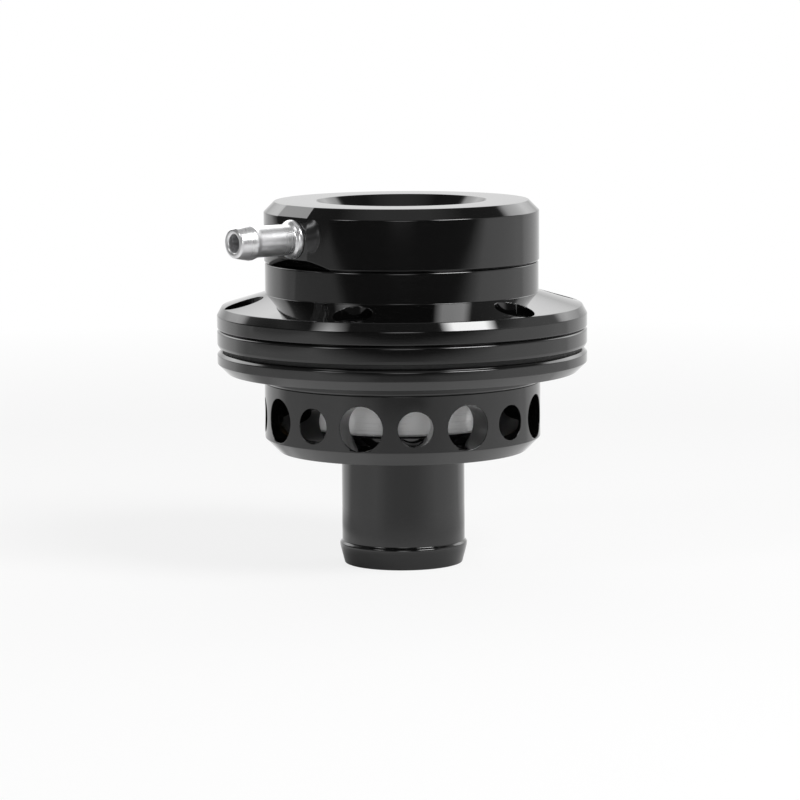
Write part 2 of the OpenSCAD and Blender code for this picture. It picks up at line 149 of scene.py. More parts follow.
class FlangeSizes(bpy.types.PropertyGroup):
    """Sizes of the clamp ring, the upper housing and their screws."""

    edge_break: length("Edge break", "Chamfer on the flanges' edges", 0.4)
    ring_chamfer_h: length("Ring chamfer height", "Height of the chamfer under the clamp ring", 0.65)
    ring_chamfer_w: length("Ring chamfer width", "Width of that chamfer", 0.3)
    band: length("Band", "Height of the upper flange's straight band", 2.85)
    bevel_h: length("Bevel height", "Height of the beneath bevel", 1.7)
    bevel_w: length("Bevel width", "Width of the beneath bevel", 0.95)
    cone_h: length("Cone", "Rise of the cone up to the collar", 2.65)
    collar: length("Collar", "Radius of the collar", 27.7)
    collar_in: length("Collar inside", "Inner radius of the collar", 25.0)
    relief: length("Relief", "Radius of the relief under the collar's thread", 25.8)
    thread_l: length("Thread", "Length of the collar's thread", 6.5)
    screw_circle: length("Screw circle", "Radius of the screws' circle", 32.5)
    screw_count: IntProperty(name="Screws", description="Number of flange screws", default=6, min=1)
    screw_hole: length("Screw hole", "Radius of the screw holes", 2.25)
    thread_hole: length("Tapped hole", "Radius of the tapped holes", 2.05)
    counterbore: length("Counterbore", "Radius of the counterbores", 3.9)
    web: length("Web", "Thickness of the flange under the screw heads", 1.8)
    head: length("Screw head", "Radius of the screw heads", 3.5)
    head_h: length("Screw head height", "Height of the screw heads", 2.0)
    shank: length("Screw shank", "Radius of the screws' shank", 2.0)
    shank_l: length("Screw length", "Length of the screws under the head", 10.0)
    socket: length("Socket", "Radius of the hexagon socket over its corners", 1.39)
    socket_h: length("Socket depth", "Depth of the hexagon socket", 1.0)


class CapSizes(bpy.types.PropertyGroup):
    """Sizes of the cap and its vacuum nipple."""

    chamfer: length("Chamfer", "Chamfer round the cap's upper edge", 2.1)
    foot_break: length("Foot break", "Chamfer round the cap's lower edge", 0.4)
    dish: length("Dish", "Radius of the dish's mouth", 17.25)
    dish_floor: length("Dish floor", "Radius of the dish's floor", 12.2)
    dish_depth: length("Dish depth", "Depth of the dish", 6.0)
    roof: length("Roof", "Thickness of the cap under the dish", 3.0)
    skirt: length("Skirt", "Outer radius of the threaded skirt", 24.95)
    skirt_in: length("Skirt inside", "Inner radius of the threaded skirt", 21.55)
    flat_depth: length("Flat depth", "Depth of the milled flat", 0.4)
    flat_foot: length("Flat foot", "Height of the slanted foot under the flat", 1.9)
    nipple_turn: turn("Nipple angle", "Angle of the nipple from -Y towards -X", 34.5)
    nipple_z: length("Nipple height", "Height of the nipple's axis above the cap's lower edge", 5.9)
    nipple_l: length("Nipple length", "Length of the nipple outside the cap", 14.4)
    nipple: length("Nipple tube", "Radius of the nipple's tube", 3.1)
    nipple_bore: length("Nipple bore", "Radius of the nipple's bore", 1.8)
    barb: length("Barb", "Radius of the nipple's barb", 3.55)
    barb_back: length("Barb back", "Distance from the tip to the back of the barb", 5.3)
    barb_at: length("Barb crest", "Distance from the tip to the barb's crest", 3.6)
    barb_land: length("Barb land", "Length of the barb's crest", 0.6)
    tip: length("Tip", "Radius of the nipple's tip", 3.0)
    foot: length("Nipple foot", "Radius of the nipple's foot", 3.9)
    foot_l: length("Nipple foot length", "Length of the nipple's foot", 1.4)
    thread: length("Nipple thread", "Radius of the nipple's thread", 2.8)
    thread_l: length("Nipple thread length", "Length of the nipple's thread", 5.0)


class InnerSizes(bpy.types.PropertyGroup):
    """Sizes of the piston, the diaphragm and the spring."""

    piston: length("Piston", "Radius of the piston", 20.5)
    piston_wall: length("Piston wall", "Wall of the piston's skirt", 3.0)
    piston_floor: length("Piston floor", "Thickness of the piston's closed end", 3.2)
    boss: length("Boss", "Radius of the piston's boss", 6.5)
    insert: length("Insert", "Radius of the hole for the threaded insert", 3.55)
    insert_l: length("Insert length", "Depth of that hole", 6.5)
    seal_in: length("Seal groove inside", "Inner radius of the face seal's groove", 18.05)
    seal_out: length("Seal groove outside", "Outer radius of the face seal's groove", 19.95)
    seal_h: length("Seal groove depth", "Depth of the face seal's groove", 1.2)
    sheet: length("Diaphragm", "Thickness of the diaphragm", 0.8)
    hub: length("Diaphragm hub", "Radius of the diaphragm's flat middle", 21.0)
    hole: length("Diaphragm hole", "Radius of the diaphragm's hole", 2.75)
    spring: length("Spring", "Mean radius of the coil spring", 15.0)
    wire: length("Wire", "Radius of the spring's wire", 1.1)
    turns: share("Turns", "Open turns of the spring between its closed ends", 4.5)


class Finishes(bpy.types.PropertyGroup):
    """Colours and surfaces."""

    black: colour("Anodised black", "Colour of the anodised pieces", 0.0025, 0.0025, 0.0025)
    black_rough: share("Anodised roughness", "Roughness of the anodised pieces", 0.06)
    silver: colour("Bright alloy", "Colour of the nipple and the plates", 0.86, 0.86, 0.87)
    silver_rough: share("Alloy roughness", "Roughness of the bright alloy", 0.3)
    steel: colour("Steel", "Colour of the spring, the washers and the rings", 0.5, 0.5, 0.51)
    steel_rough: share("Steel roughness", "Roughness of the steel", 0.3)
    screw: colour("Black screws", "Colour of the flange screws", 0.012, 0.012, 0.013)
    screw_rough: share("Screw roughness", "Roughness of the flange screws", 0.35)
    rubber: colour("Rubber", "Colour of the diaphragm and the seals", 0.014, 0.014, 0.014)
    rubber_rough: share("Rubber roughness", "Roughness of the rubber", 0.62)
    piston: colour("Satin alloy", "Colour of the piston and the chamber's bore", 0.96, 0.96, 0.96)
    piston_rough: share("Piston roughness", "Roughness of the satin piston", 0.3)
    bronze: colour("Bronze", "Colour of the bush and the insert", 0.52, 0.36, 0.16)
    bronze_rough: share("Bronze roughness", "Roughness of the bronze", 0.32)
    line_pitch: length("Turning lines", "Spacing of the fine turning lines", 0.16)
    edge_round: length("Edge rounding", "Rounding on machined edges", 0.12)


class StudioSettings(bpy.types.PropertyGroup):
    """Camera, lights and floor."""

    azimuth: turn("Azimuth", "Camera's turn round the valve from -Y towards +X", 17.3)
    distance: length("Distance", "Camera's distance from the valve's axis", 746)
    height: length("Height", "Camera's height above the floor", 127.5)
    aim: length("Aim", "Height that the camera looks at", 33.1)
    aim_left: length("Aim left", "How far left of the axis the camera looks", 0.54)
    roll: turn("Roll", "Lean of the valve in the picture", 0.41)
    lens: share("Lens", "Focal length in millimetres on a 36 mm sensor", 166.4)
    key: share("Key light", "Power of the right softbox in watts", 5.8)
    fill: share("Fill light", "Power of the left softbox in watts", 2.0)
    front: share("Front light", "Power of the small panel above the camera in watts", 4.0)
    front_w: length("Front light size", "Side of that panel", 560)
    front_z: length("Front light height", "Height of that panel above the floor", 240)
    softbox: length("Softbox", "Length of the softboxes", 380)
    softbox_w: length("Softbox width", "Width of the softboxes", 300)
    softbox_far: length("Softbox distance", "Distance of the softboxes from the valve", 700)
    back: share("Back light", "Power of the panel behind the valve in watts", 50)
    back_far: length("Back light distance", "Distance of that panel behind the valve", 1500)
    back_w: length("Back light width", "Width of that panel", 5200)
    back_h: length("Back light height", "Height of that panel", 1870)
    back_z: length("Back light middle", "Height of that panel's middle above the floor", 1285)
    ambient: share("Ambient", "Level of the room's light", 0.1)
    floor_size: length("Floor", "Side of the floor", 8000)
    floor: colour("Floor colour", "Colour of the floor", 0.88, 0.88, 0.88)
    floor_white: share("Floor white", "How white the floor by the valve is in the picture", 0.8)
    near: length("Near floor", "Up to where reflections show the shaded floor", 40)
    far: length("Far floor", "From where reflections show the room instead", 80)
    under: share("Floor below", "How much brighter the floor below the valve is in reflections", 0.45)
    table: length("Table", "How far the white table reaches towards the camera", 470)


class ValveSettings(bpy.types.PropertyGroup):
    """All settings of the valve."""

    body: PointerProperty(type=BodySizes)
    flange: PointerProperty(type=FlangeSizes)
    cap: PointerProperty(type=CapSizes)
    inner: PointerProperty(type=InnerSizes)
    finish: PointerProperty(type=Finishes)
    studio: PointerProperty(type=StudioSettings)


# Mesh helpers

# Steps round the pieces and their holes
FLANGE_STEPS = 384
SPIGOT_STEPS = 256
INNER_STEPS = 192
NIPPLE_STEPS = 128
SCREW_STEPS = 64
VENT_STEPS = 96
HOLE_STEPS = 48
SOCKET_SIDES = 6


def revolve(outline, segments, closed=True):
    """A bmesh of an outline of (radius, height) points spun round Z."""
    bm = bmesh.new()
    points = [bm.verts.new((r, 0, z)) for r, z in outline]
    ends = points[1:] + points[:1] if closed else points[1:]
    edges = [bm.edges.new(pair) for pair in zip(points, ends)]
    bmesh.ops.spin(
        bm, geom=points + edges, cent=(0, 0, 0), axis=(0, 0, 1), dvec=(0, 0, 0),
        angle=math.tau, steps=segments, use_merge=True,
    )
    bmesh.ops.remove_doubles(bm, verts=bm.verts, dist=1e-7)
    bmesh.ops.recalc_face_normals(bm, faces=bm.faces)
    return bm


def rod(r, z0, z1, segments):
    """A bmesh of a plain rod on Z, used to drill and to cut."""
    bm = bmesh.new()
    bmesh.ops.create_cone(
        bm, cap_ends=True, segments=segments, radius1=r, radius2=r, depth=z1 - z0,
        matrix=Matrix.Translation((0, 0, (z0 + z1) / 2)),
    )
    return bm


def block(lowest, highest):
    """A bmesh of a box between two corners."""
    bm = bmesh.new()
    a, b = Vector(lowest), Vector(highest)
    bmesh.ops.create_cube(bm, size=1)
    bmesh.ops.scale(bm, vec=b - a, verts=bm.verts)
    bmesh.ops.translate(bm, vec=(a + b) / 2, verts=bm.verts)
    return bm


def gather(shapes):
    """One bmesh of several (bmesh, matrix) copies. The bmeshes are freed."""
    whole = bmesh.new()
    for bm, matrix in shapes:
        bm.transform(matrix)
        mesh = bpy.data.meshes.new("part")
        bm.to_mesh(mesh)
        bm.free()
        whole.from_mesh(mesh)
        bpy.data.meshes.remove(mesh)
    return whole


def piece_from(name, bm):
    """A new object from a bmesh, which is freed."""
    mesh = bpy.data.meshes.new(name)
    bm.to_mesh(mesh)
    bm.free()
    piece = bpy.data.objects.new(name, mesh)
    bpy.context.collection.objects.link(piece)
    return piece


def settle(piece):
    """Applies a piece's modifiers to its mesh."""
    graph = bpy.context.evaluated_depsgraph_get()
    mesh = bpy.data.meshes.new_from_object(piece.evaluated_get(graph))
    old = piece.data
    piece.modifiers.clear()
    piece.data = mesh
    mesh.name = piece.name
    bpy.data.meshes.remove(old)


def carve(piece, cutter_bm):
    """Cuts a bmesh out of a piece."""
    cutter = piece_from("cutter", cutter_bm)
    cut = piece.modifiers.new("cut", "BOOLEAN")
    cut.operation = "DIFFERENCE"
    cut.solver = "EXACT"
    cut.object = cutter
    settle(piece)
    mesh = cutter.data
    bpy.data.objects.remove(cutter)
    bpy.data.meshes.remove(mesh)


def round_edges(piece, width, segments=2):
    """Rounds a piece's sharp edges and keeps its broad faces flat in the light."""
    bm = bmesh.new()
    bm.from_mesh(piece.data)
    bmesh.ops.remove_doubles(bm, verts=bm.verts, dist=2e-6)
    bm.to_mesh(piece.data)
    bm.free()
    bevel = piece.modifiers.new("edges", "BEVEL")
    bevel.width = width
    bevel.segments = segments
    bevel.profile = 0.5
    bevel.limit_method = "ANGLE"
    bevel.angle_limit = math.radians(20)
    bevel.use_clamp_overlap = False
    bevel.material = -1
    settle(piece)
    piece.data.shade_smooth()
    weighted = piece.modifiers.new("normals", "WEIGHTED_NORMAL")
    weighted.mode = "FACE_AREA_WITH_ANGLE"
    weighted.weight = 50
    settle(piece)


def dress(piece, material, body, slot, *nodes):
    """Gives a finished piece its material, its body and the nodes that it stands for."""
    piece.data.materials.clear()
    piece.data.materials.append(material)
    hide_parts(*nodes)
    if body:
        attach(piece, body)


def machined(piece, finish, body, slot, node):
    """Rounds a turned piece's edges and dresses it."""
    round_edges(piece, bpy.context.scene.valve.finish.edge_round)
    dress(piece, finish_named(finish), body, slot, node)


# Materials

ANODISED_IOR = 1.6
# Depths of the turning lines in metres
TURNING_LINES = 3e-6
FAINT_LINES = 4e-7
SATIN_LINES = 5e-8


def new_material(name):
    """An empty node material with its output, its shader and its object coordinates."""
    material = bpy.data.materials.new(name)
    material.use_nodes = True
    tree = material.node_tree
    tree.nodes.clear()
    shader = add_node(tree, "BsdfPrincipled", {})
    add_node(tree, "OutputMaterial", {"Surface": shader.outputs["BSDF"]})
    return material, tree, shader, add_node(tree, "TexCoord", {}).outputs["Object"]


def add_node(tree, kind, inputs, **settings):
    """A shader node with its settings. Each input is linked to a socket or set to a value."""
    node = tree.nodes.new("ShaderNode" + kind)
    for name, value in settings.items():
        setattr(node, name, value)
    for key, value in inputs.items():
        if isinstance(value, bpy.types.NodeSocket):
            tree.links.new(value, node.inputs[key])
        else:
            node.inputs[key].default_value = value
    return node


def math_node(tree, operation, *values):
    """A math node's result. The values are sockets or numbers."""
    return add_node(tree, "Math", dict(enumerate(values)), operation=operation).outputs["Value"]


def span(tree, value, low_out, high_out, low_in=0.0, high_in=1.0):
    """Maps a value's range to another range."""
    inputs = {"Value": value, "From Min": low_in, "From Max": high_in, "To Min": low_out, "To Max": high_out}
    return add_node(tree, "MapRange", inputs).outputs["Result"]


def noise(tree, vector, scale, detail):
    """A noise texture's value."""
    return add_node(tree, "TexNoise", {"Vector": vector, "Scale": scale, "Detail": detail}).outputs["Fac"]


def blend_value(tree, factor, a, b):
    """Mixes two values. Each is a socket or a number."""
    return add_node(tree, "Mix", {"Factor": factor, "A": a, "B": b}).outputs["Result"]


def bump(tree, shader, height, depth):
    """Raises a surface by a height value times a depth in metres."""
    node = add_node(tree, "Bump", {"Strength": 1.0, "Distance": depth, "Height": height})
    tree.links.new(node.outputs["Normal"], shader.inputs["Normal"])


def lathe_place(tree, place, origin, rotation):
    """Coordinates of (radius, height) about a lathe axis, for lines that run round a turned piece."""
    inputs = {"Vector": place, "Location": origin, "Rotation": rotation}
    mapping = add_node(tree, "Mapping", inputs, vector_type="TEXTURE")
    x, y, z = add_node(tree, "SeparateXYZ", {"Vector": mapping.outputs["Vector"]}).outputs
    squares = math_node(tree, "ADD", math_node(tree, "MULTIPLY", x, x), math_node(tree, "MULTIPLY", y, y))
    return add_node(tree, "CombineXYZ", {"X": math_node(tree, "SQRT", squares), "Y": z}).outputs["Vector"]


def turned_metal(name, pitch, base, rough, depth, metallic, origin=(0, 0, 0), rotation=(0, 0, 0)):
    """Metal from the lathe: fine lines round its axis and a slightly uneven gloss."""
    material, tree, shader, place = new_material(name)
    lathe = lathe_place(tree, place, origin, rotation)
    lines = noise(tree, lathe, 1 / pitch, 3.0)
    cloud = noise(tree, place, 90.0, 4.0)
    shader.inputs["Base Color"].default_value = (*base, 1)
    shader.inputs["Metallic"].default_value = metallic
    shader.inputs["IOR"].default_value = ANODISED_IOR
    halves = [math_node(tree, "MULTIPLY", value, 0.5) for value in (lines, cloud)]
    uneven = math_node(tree, "ADD", *halves)
    tree.links.new(span(tree, uneven, 0.75 * rough, 1.3 * rough, 0.3, 0.7), shader.inputs["Roughness"])
    bump(tree, shader, lines, depth)
    return material


def plain_surface(name, base, rough, grain, depth, metallic=0.0, shade=0.12):
    """A moulded or rolled surface with a fine grain and a faint change of shade."""
    material, tree, shader, place = new_material(name)
    fine = noise(tree, place, 1 / grain, 3.0)
    cloud = noise(tree, place, 60.0, 3.0)
    dark = (*[c * (1 - shade) for c in base], 1)
    pale = (*[min(1, c * (1 + shade)) for c in base], 1)
    mix = add_node(tree, "Mix", {"A": dark, "B": pale, "Factor": cloud}, data_type="RGBA")
    tree.links.new(mix.outputs["Result"], shader.inputs["Base Color"])
    shader.inputs["Metallic"].default_value = metallic
    tree.links.new(span(tree, fine, 0.85 * rough, 1.15 * rough, 0.3, 0.7), shader.inputs["Roughness"])
    bump(tree, shader, fine, depth)
    return material


def nipple_axis(cap):
    """Foot point and placing matrix of the nipple, whose own Z runs out of the cap."""
    angle = cap.nipple_turn
    out = Vector((-math.sin(angle), -math.cos(angle), 0))
    foot = out * (radius("top_cap") - cap.flat_depth)
    foot.z = low_cap() + cap.nipple_z
    turned = out.to_track_quat("Z", "Y").to_matrix().to_4x4()
    return foot, Matrix.Translation(foot) @ turned


def low_cap():
    """Height of the cap's lower edge, where it sits on the collar."""
    return top("upper_housing")


def finish_named(name):
    """A finish of the valve, made on first use."""
    if name in bpy.data.materials:
        return bpy.data.materials[name]
    looks = bpy.context.scene.valve.finish
    foot, matrix = nipple_axis(bpy.context.scene.valve.cap)
    turned = {
        "polished_black": (looks.black, looks.black_rough, FAINT_LINES, 0.0),
        "nipple_alloy": (looks.silver, looks.silver_rough, TURNING_LINES, 0.85, foot, matrix.to_euler()),
        "plate_alloy": (looks.silver, looks.silver_rough, TURNING_LINES, 1.0),
        "ring_steel": (looks.steel, looks.steel_rough, TURNING_LINES, 1.0),
        "piston_alloy": (looks.piston, looks.piston_rough, SATIN_LINES, 0.1),
        "turned_bronze": (looks.bronze, looks.bronze_rough, TURNING_LINES, 1.0),
    }
    plain = {
        "spring_steel": (looks.steel, looks.steel_rough, 0.0004, 3e-6, 1.0),
        "screw_black": (looks.screw, looks.screw_rough, 0.0003, 3e-6),
        "moulded_rubber": (looks.rubber, looks.rubber_rough, 0.0005, 8e-6),
    }
    if name in turned:
        return turned_metal(name, looks.line_pitch, *turned[name])
    return plain_surface(name, *plain[name])


# Pieces


def around(count, start=-math.pi / 2):
    """Turns about Z that repeat a shape, the first one facing -Y."""
    return [Matrix.Rotation(start + i * math.tau / count, 4, "Z") for i in range(count)]


def screw_places(flange, height=0.0):
    """Places of the flange screws at a height."""
    return [turned @ Matrix.Translation((flange.screw_circle, 0, height)) for turned in around(flange.screw_count)]


class VALVE_OT_hose_spigot(bpy.types.Operator):
    """Turn the hose spigot with its bead and its valve seat."""

    bl_idname = "valve.hose_spigot"
    bl_label = "Hose spigot"

    def execute(self, context):
        size = context.scene.valve.body
        seat_out, seat_z, chamber_z = radius("hose_spigot"), top("hose_spigot"), low("vent_chamber")
        neck_z = size.bead_z + size.bead_land + size.bead_back
        outline = [
            (size.bore, 0), (size.rim, 0), (size.bead, size.bead_z),
            (size.bead, size.bead_z + size.bead_land), (size.spigot, neck_z),
            (size.spigot, chamber_z), (seat_out, chamber_z), (seat_out, seat_z),
            (size.seat_in, seat_z), (size.bore, chamber_z + size.flare),
        ]
        piece = piece_from("hose_spigot_turned", revolve(outline, SPIGOT_STEPS))
        machined(piece, "polished_black", "housing", "black_anodised", "hose_spigot")
        return {"FINISHED"}


class VALVE_OT_vent_chamber(bpy.types.Operator):
    """Turn the vent chamber and drill its vents."""

    bl_idname = "valve.vent_chamber"
    bl_label = "Vent chamber"

    def execute(self, context):
        size = context.scene.valve.body
        z0, z1, bush_z = low("vent_chamber"), top("vent_chamber"), low("guide_bush")
        thread_r = radius("hose_spigot") + size.thread_fit
        outline = [
            (thread_r, z0), (size.chamber - size.chamfer, z0), (size.chamber, z0 + size.chamfer),
            (size.chamber, z1), (size.bush, z1), (size.bush, bush_z), (size.chamber_in, bush_z),
            (size.chamber_in, z0 + size.floor), (thread_r, z0 + size.floor),
        ]
        piece = piece_from("vent_chamber_turned", revolve(outline, FLANGE_STEPS))
        lying = Matrix.Translation((0, 0, z0 + size.vent_z)) @ Matrix.Rotation(math.pi / 2, 4, "Y")
        drills = []
        for i, turned in enumerate(around(size.vent_count)):
            vent = size.vent_small if i % 2 else size.vent_large
            drills.append((rod(vent, thread_r, size.chamber * 1.2, VENT_STEPS), turned @ lying))
        carve(piece, gather(drills))
        machined(piece, "polished_black", "housing", "black_anodised", "vent_chamber")
        piece.data.materials.append(finish_named("piston_alloy"))
        for face in piece.data.polygons:
            if abs(face.normal.z) < 0.5 and face.center.xy.length < size.chamber_in * 1.005:
                face.material_index = 1
        return {"FINISHED"}


class VALVE_OT_lower_flange(bpy.types.Operator):
    """Turn the lower flange and drill its tapped holes."""

    bl_idname = "valve.lower_flange"
    bl_label = "Lower flange"

    def execute(self, context):
        size, flange = context.scene.valve.body, context.scene.valve.flange
        r, z0, z1 = radius("lower_flange"), low("lower_flange"), top("lower_flange")
        flange_z = z0 + size.neck
        neck_r = size.chamber + size.neck_step
        groove_z, groove_top = low("bush_retaining_ring"), top("bush_retaining_ring")
        cavity_z = groove_top + size.cavity_z
        outline = [
            (size.bush, z0), (size.chamber, z0), (neck_r, z0 + size.neck_step), (neck_r, flange_z),
            (r - size.flange_bevel, flange_z), (r, flange_z + size.flange_bevel),
            (r, z1 - size.flange_chamfer), (r - size.flange_chamfer, z1), (size.cavity, z1),
            (size.cavity, cavity_z + size.cavity - size.bush), (size.bush, cavity_z),
            (size.bush, groove_top), (size.groove, groove_top), (size.groove, groove_z),
            (size.bush, groove_z),
        ]
        piece = piece_from("lower_flange_turned", revolve(outline, FLANGE_STEPS))
        holes = [(rod(flange.thread_hole, z0, z1 + size.neck, HOLE_STEPS), place) for place in screw_places(flange)]
        carve(piece, gather(holes))
        machined(piece, "polished_black", "housing", "black_anodised", "lower_flange")
        return {"FINISHED"}


class VALVE_OT_clamp_ring(bpy.types.Operator):
    """Turn the clamp ring between the flanges and drill its screw holes."""

    bl_idname = "valve.clamp_ring"
    bl_label = "Clamp ring"

    def execute(self, context):
        size, flange = context.scene.valve.body, context.scene.valve.flange
        r, z0, z1 = radius("clamp_ring"), low("clamp_ring"), top("clamp_ring")
        outline = [
            (size.cavity, z0), (r - flange.ring_chamfer_w, z0), (r, z0 + flange.ring_chamfer_h),
            (r, z1 - flange.edge_break), (r - flange.edge_break, z1), (size.cavity, z1),
        ]
        piece = piece_from("clamp_ring_turned", revolve(outline, FLANGE_STEPS))
        lowest, highest = z0 - flange.web, z1 + flange.web
        holes = [(rod(flange.screw_hole, lowest, highest, HOLE_STEPS), place) for place in screw_places(flange)]
        carve(piece, gather(holes))
        machined(piece, "polished_black", "housing", "black_anodised", "clamp_ring")
        return {"FINISHED"}


class VALVE_OT_upper_housing(bpy.types.Operator):
    """Turn the upper flange with its cone and collar, and sink its counterbores."""

    bl_idname = "valve.upper_housing"
    bl_label = "Upper housing"

    def execute(self, context):
        flange = context.scene.valve.flange
        r, z0, z1 = radius("upper_housing"), low("upper_housing"), top("upper_housing")
        band_z = z0 + flange.band
        cone_z = band_z + flange.bevel_h
        thread_z = z1 - flange.thread_l
        small_break = flange.edge_break / 2
        outline = [
            (flange.relief, z0), (r - flange.edge_break, z0), (r, z0 + flange.edge_break),
            (r, band_z), (r - flange.bevel_w, cone_z), (flange.collar, cone_z + flange.cone_h),
            (flange.collar, z1 - small_break), (flange.collar - small_break, z1),
            (flange.collar_in, z1), (flange.collar_in, thread_z),
            (flange.relief, thread_z - flange.relief + flange.collar_in),
        ]
        piece = piece_from("upper_housing_turned", revolve(outline, FLANGE_STEPS))
        for r_hole, lowest, highest, steps in (
            (flange.counterbore, z0 + flange.web, z1, VENT_STEPS),
            (flange.screw_hole, z0 - flange.web, band_z, HOLE_STEPS),
        ):
            carve(piece, gather([(rod(r_hole, lowest, highest, steps), place) for place in screw_places(flange)]))
        machined(piece, "polished_black", "housing", "black_anodised", "upper_housing")
        return {"FINISHED"}


class VALVE_OT_top_cap(bpy.types.Operator):
    """Turn the dished cap, mill its flat and drill it for the nipple."""

    bl_idname = "valve.top_cap"
    bl_label = "Top cap"

    def execute(self, context):
        cap = context.scene.valve.cap
        r, z0, z1, skirt_z = radius("top_cap"), low_cap(), top("top_cap"), low("top_cap")
        dish_z = z1 - cap.dish_depth
        roof_z = dish_z - cap.roof
        outline = [
            (0, roof_z), (cap.skirt_in, roof_z), (cap.skirt_in, skirt_z), (cap.skirt, skirt_z),
            (cap.skirt, z0), (r - cap.foot_break, z0), (r, z0 + cap.foot_break),
            (r, z1 - cap.chamfer), (r - cap.chamfer, z1), (cap.dish, z1), (cap.dish_floor, dish_z),
            (0, dish_z),
        ]
        piece = piece_from("top_cap_turned", revolve(outline, FLANGE_STEPS, closed=False))
        flat_r = r - cap.flat_depth
        reach = 2 * r
        towards = Matrix.Rotation(-math.pi / 2 - cap.nipple_turn, 4, "Z")
        corner = Matrix.Translation((flat_r, 0, z1 - cap.chamfer)) @ Matrix.Rotation(-math.pi / 4, 4, "Y")
        foot = Matrix.Translation((flat_r, 0, z0 + cap.flat_foot)) @ Matrix.Rotation(math.pi / 4, 4, "Y")
        foot_cut = math.sqrt(2) * (cap.flat_foot + cap.foot_break)
        small = cap.foot_break
        for lowest, highest, place in (
            ((flat_r, -reach, z0 - small), (reach, reach, z1 + small), Matrix.Identity(4)),
            ((0, -reach, -small), (reach, reach, reach), corner),
            ((0, -reach, -foot_cut), (reach, reach, 0), foot),
        ):
            carve(piece, gather([(block(lowest, highest), towards @ place)]))
        _, nipple = nipple_axis(cap)
        carve(piece, gather([(rod(cap.thread, -cap.thread_l, cap.thread_l, SCREW_STEPS), nipple)]))
        machined(piece, "polished_black", "housing", "black_anodised", "top_cap")
        return {"FINISHED"}


class VALVE_OT_nipple(bpy.types.Operator):
    """Turn the barbed vacuum nipple and set it on the cap's flat."""

    bl_idname = "valve.nipple"
    bl_label = "Vacuum nipple"

    def execute(self, context):
        cap = context.scene.valve.cap
        end = cap.nipple_l
        tip_round = cap.tip * 0.09
        outline = [
            (cap.nipple_bore, -cap.thread_l), (cap.thread, -cap.thread_l), (cap.thread, 0),
            (cap.foot, 0), (cap.foot, cap.foot_l * 0.35), (cap.foot * 0.93, cap.foot_l * 0.7),
            (cap.nipple, cap.foot_l), (cap.nipple, end - cap.barb_back),
            (cap.barb, end - cap.barb_at - cap.barb_land / 2),
            (cap.barb, end - cap.barb_at + cap.barb_land / 2), (cap.tip, end - tip_round),
            (cap.tip - tip_round, end), (cap.nipple_bore + tip_round, end),
            (cap.nipple_bore, end - tip_round),
        ]
        _, place = nipple_axis(cap)
        bm = revolve(outline, NIPPLE_STEPS)
        bm.transform(place)
        piece = piece_from("vacuum_nipple_turned", bm)
        machined(piece, "nipple_alloy", "housing", "silver_alloy", "vacuum_nipple")
        return {"FINISHED"}


class VALVE_OT_flange_screws(bpy.types.Operator):
    """Make the socket head screws and set them in the counterbores."""

    bl_idname = "valve.flange_screws"
    bl_label = "Flange screws"

    def execute(self, context):
        flange = context.scene.valve.flange
        seat = low("upper_housing") + flange.web
        brim = flange.head * 0.12
        outline = [
            (0, -flange.shank_l), (flange.shank - brim, -flange.shank_l),
            (flange.shank, brim - flange.shank_l), (flange.shank, 0), (flange.head, 0),
            (flange.head, flange.head_h - brim), (flange.head - brim, flange.head_h),
            (0, flange.head_h),
        ]
        places = screw_places(flange, seat)
        shapes = [(revolve(outline, SCREW_STEPS, closed=False), place) for place in places]
        piece = piece_from("flange_screws_turned", gather(shapes))
        lowest, highest = flange.head_h - flange.socket_h, flange.head_h + flange.socket_h
        carve(piece, gather([(rod(flange.socket, lowest, highest, SOCKET_SIDES), place) for place in places]))
        machined(piece, "screw_black", "housing", "black_screw", "flange_screws")
        return {"FINISHED"}


class VALVE_OT_piston(bpy.types.Operator):
    """Turn the bright piston."""

    bl_idname = "valve.piston"
    bl_label = "Piston"

    def execute(self, context):
        inner = context.scene.valve.inner
        z0, z1 = low("valve_piston"), top("valve_piston")
        wall = inner.piston - inner.piston_wall
        floor = z0 + inner.piston_floor
        edge = inner.piston_floor * 0.12
        insert_z = z1 - inner.insert_l
        outline = [
            (0, z0), (inner.seal_in, z0), (inner.seal_in, z0 + inner.seal_h),
            (inner.seal_out, z0 + inner.seal_h), (inner.seal_out, z0), (inner.piston - edge, z0),
            (inner.piston, z0 + edge), (inner.piston, z1), (wall, z1), (wall, floor),
            (inner.boss, floor), (inner.boss, z1), (inner.insert, z1), (inner.insert, insert_z),
            (0, insert_z),
        ]
        piece = piece_from("valve_piston_turned", revolve(outline, INNER_STEPS, closed=False))
        machined(piece, "piston_alloy", "valve", "silver_alloy", "valve_piston")
        return {"FINISHED"}


class VALVE_OT_diaphragm(bpy.types.Operator):
    """Mould the rubber diaphragm in one curved shape between its clamp and the piston's plates."""

    bl_idname = "valve.diaphragm"
    bl_label = "Diaphragm"

    def execute(self, context):
        inner, size = context.scene.valve.inner, context.scene.valve.body
        edge_r = radius("diaphragm")
        hub_z, clamp_z = low("diaphragm"), top("diaphragm") - inner.sheet
        slope = [
            (inner.hub + (size.cavity - inner.hub) * t, hub_z + (clamp_z - hub_z) * t * t * (3 - 2 * t))
            for t in (i / 12 for i in range(13))
        ]
        lower = [(inner.hole, hub_z), *slope, (edge_r, clamp_z)]
        upper = [(r, z + inner.sheet) for r, z in reversed(lower)]
        piece = piece_from("diaphragm_moulded", revolve(lower + upper, INNER_STEPS))
        piece.data.shade_smooth()
        piece.data.set_sharp_from_angle(angle=math.radians(35))
        dress(piece, finish_named("moulded_rubber"), None, "rubber", "diaphragm")
        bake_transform(piece)
        return {"FINISHED"}


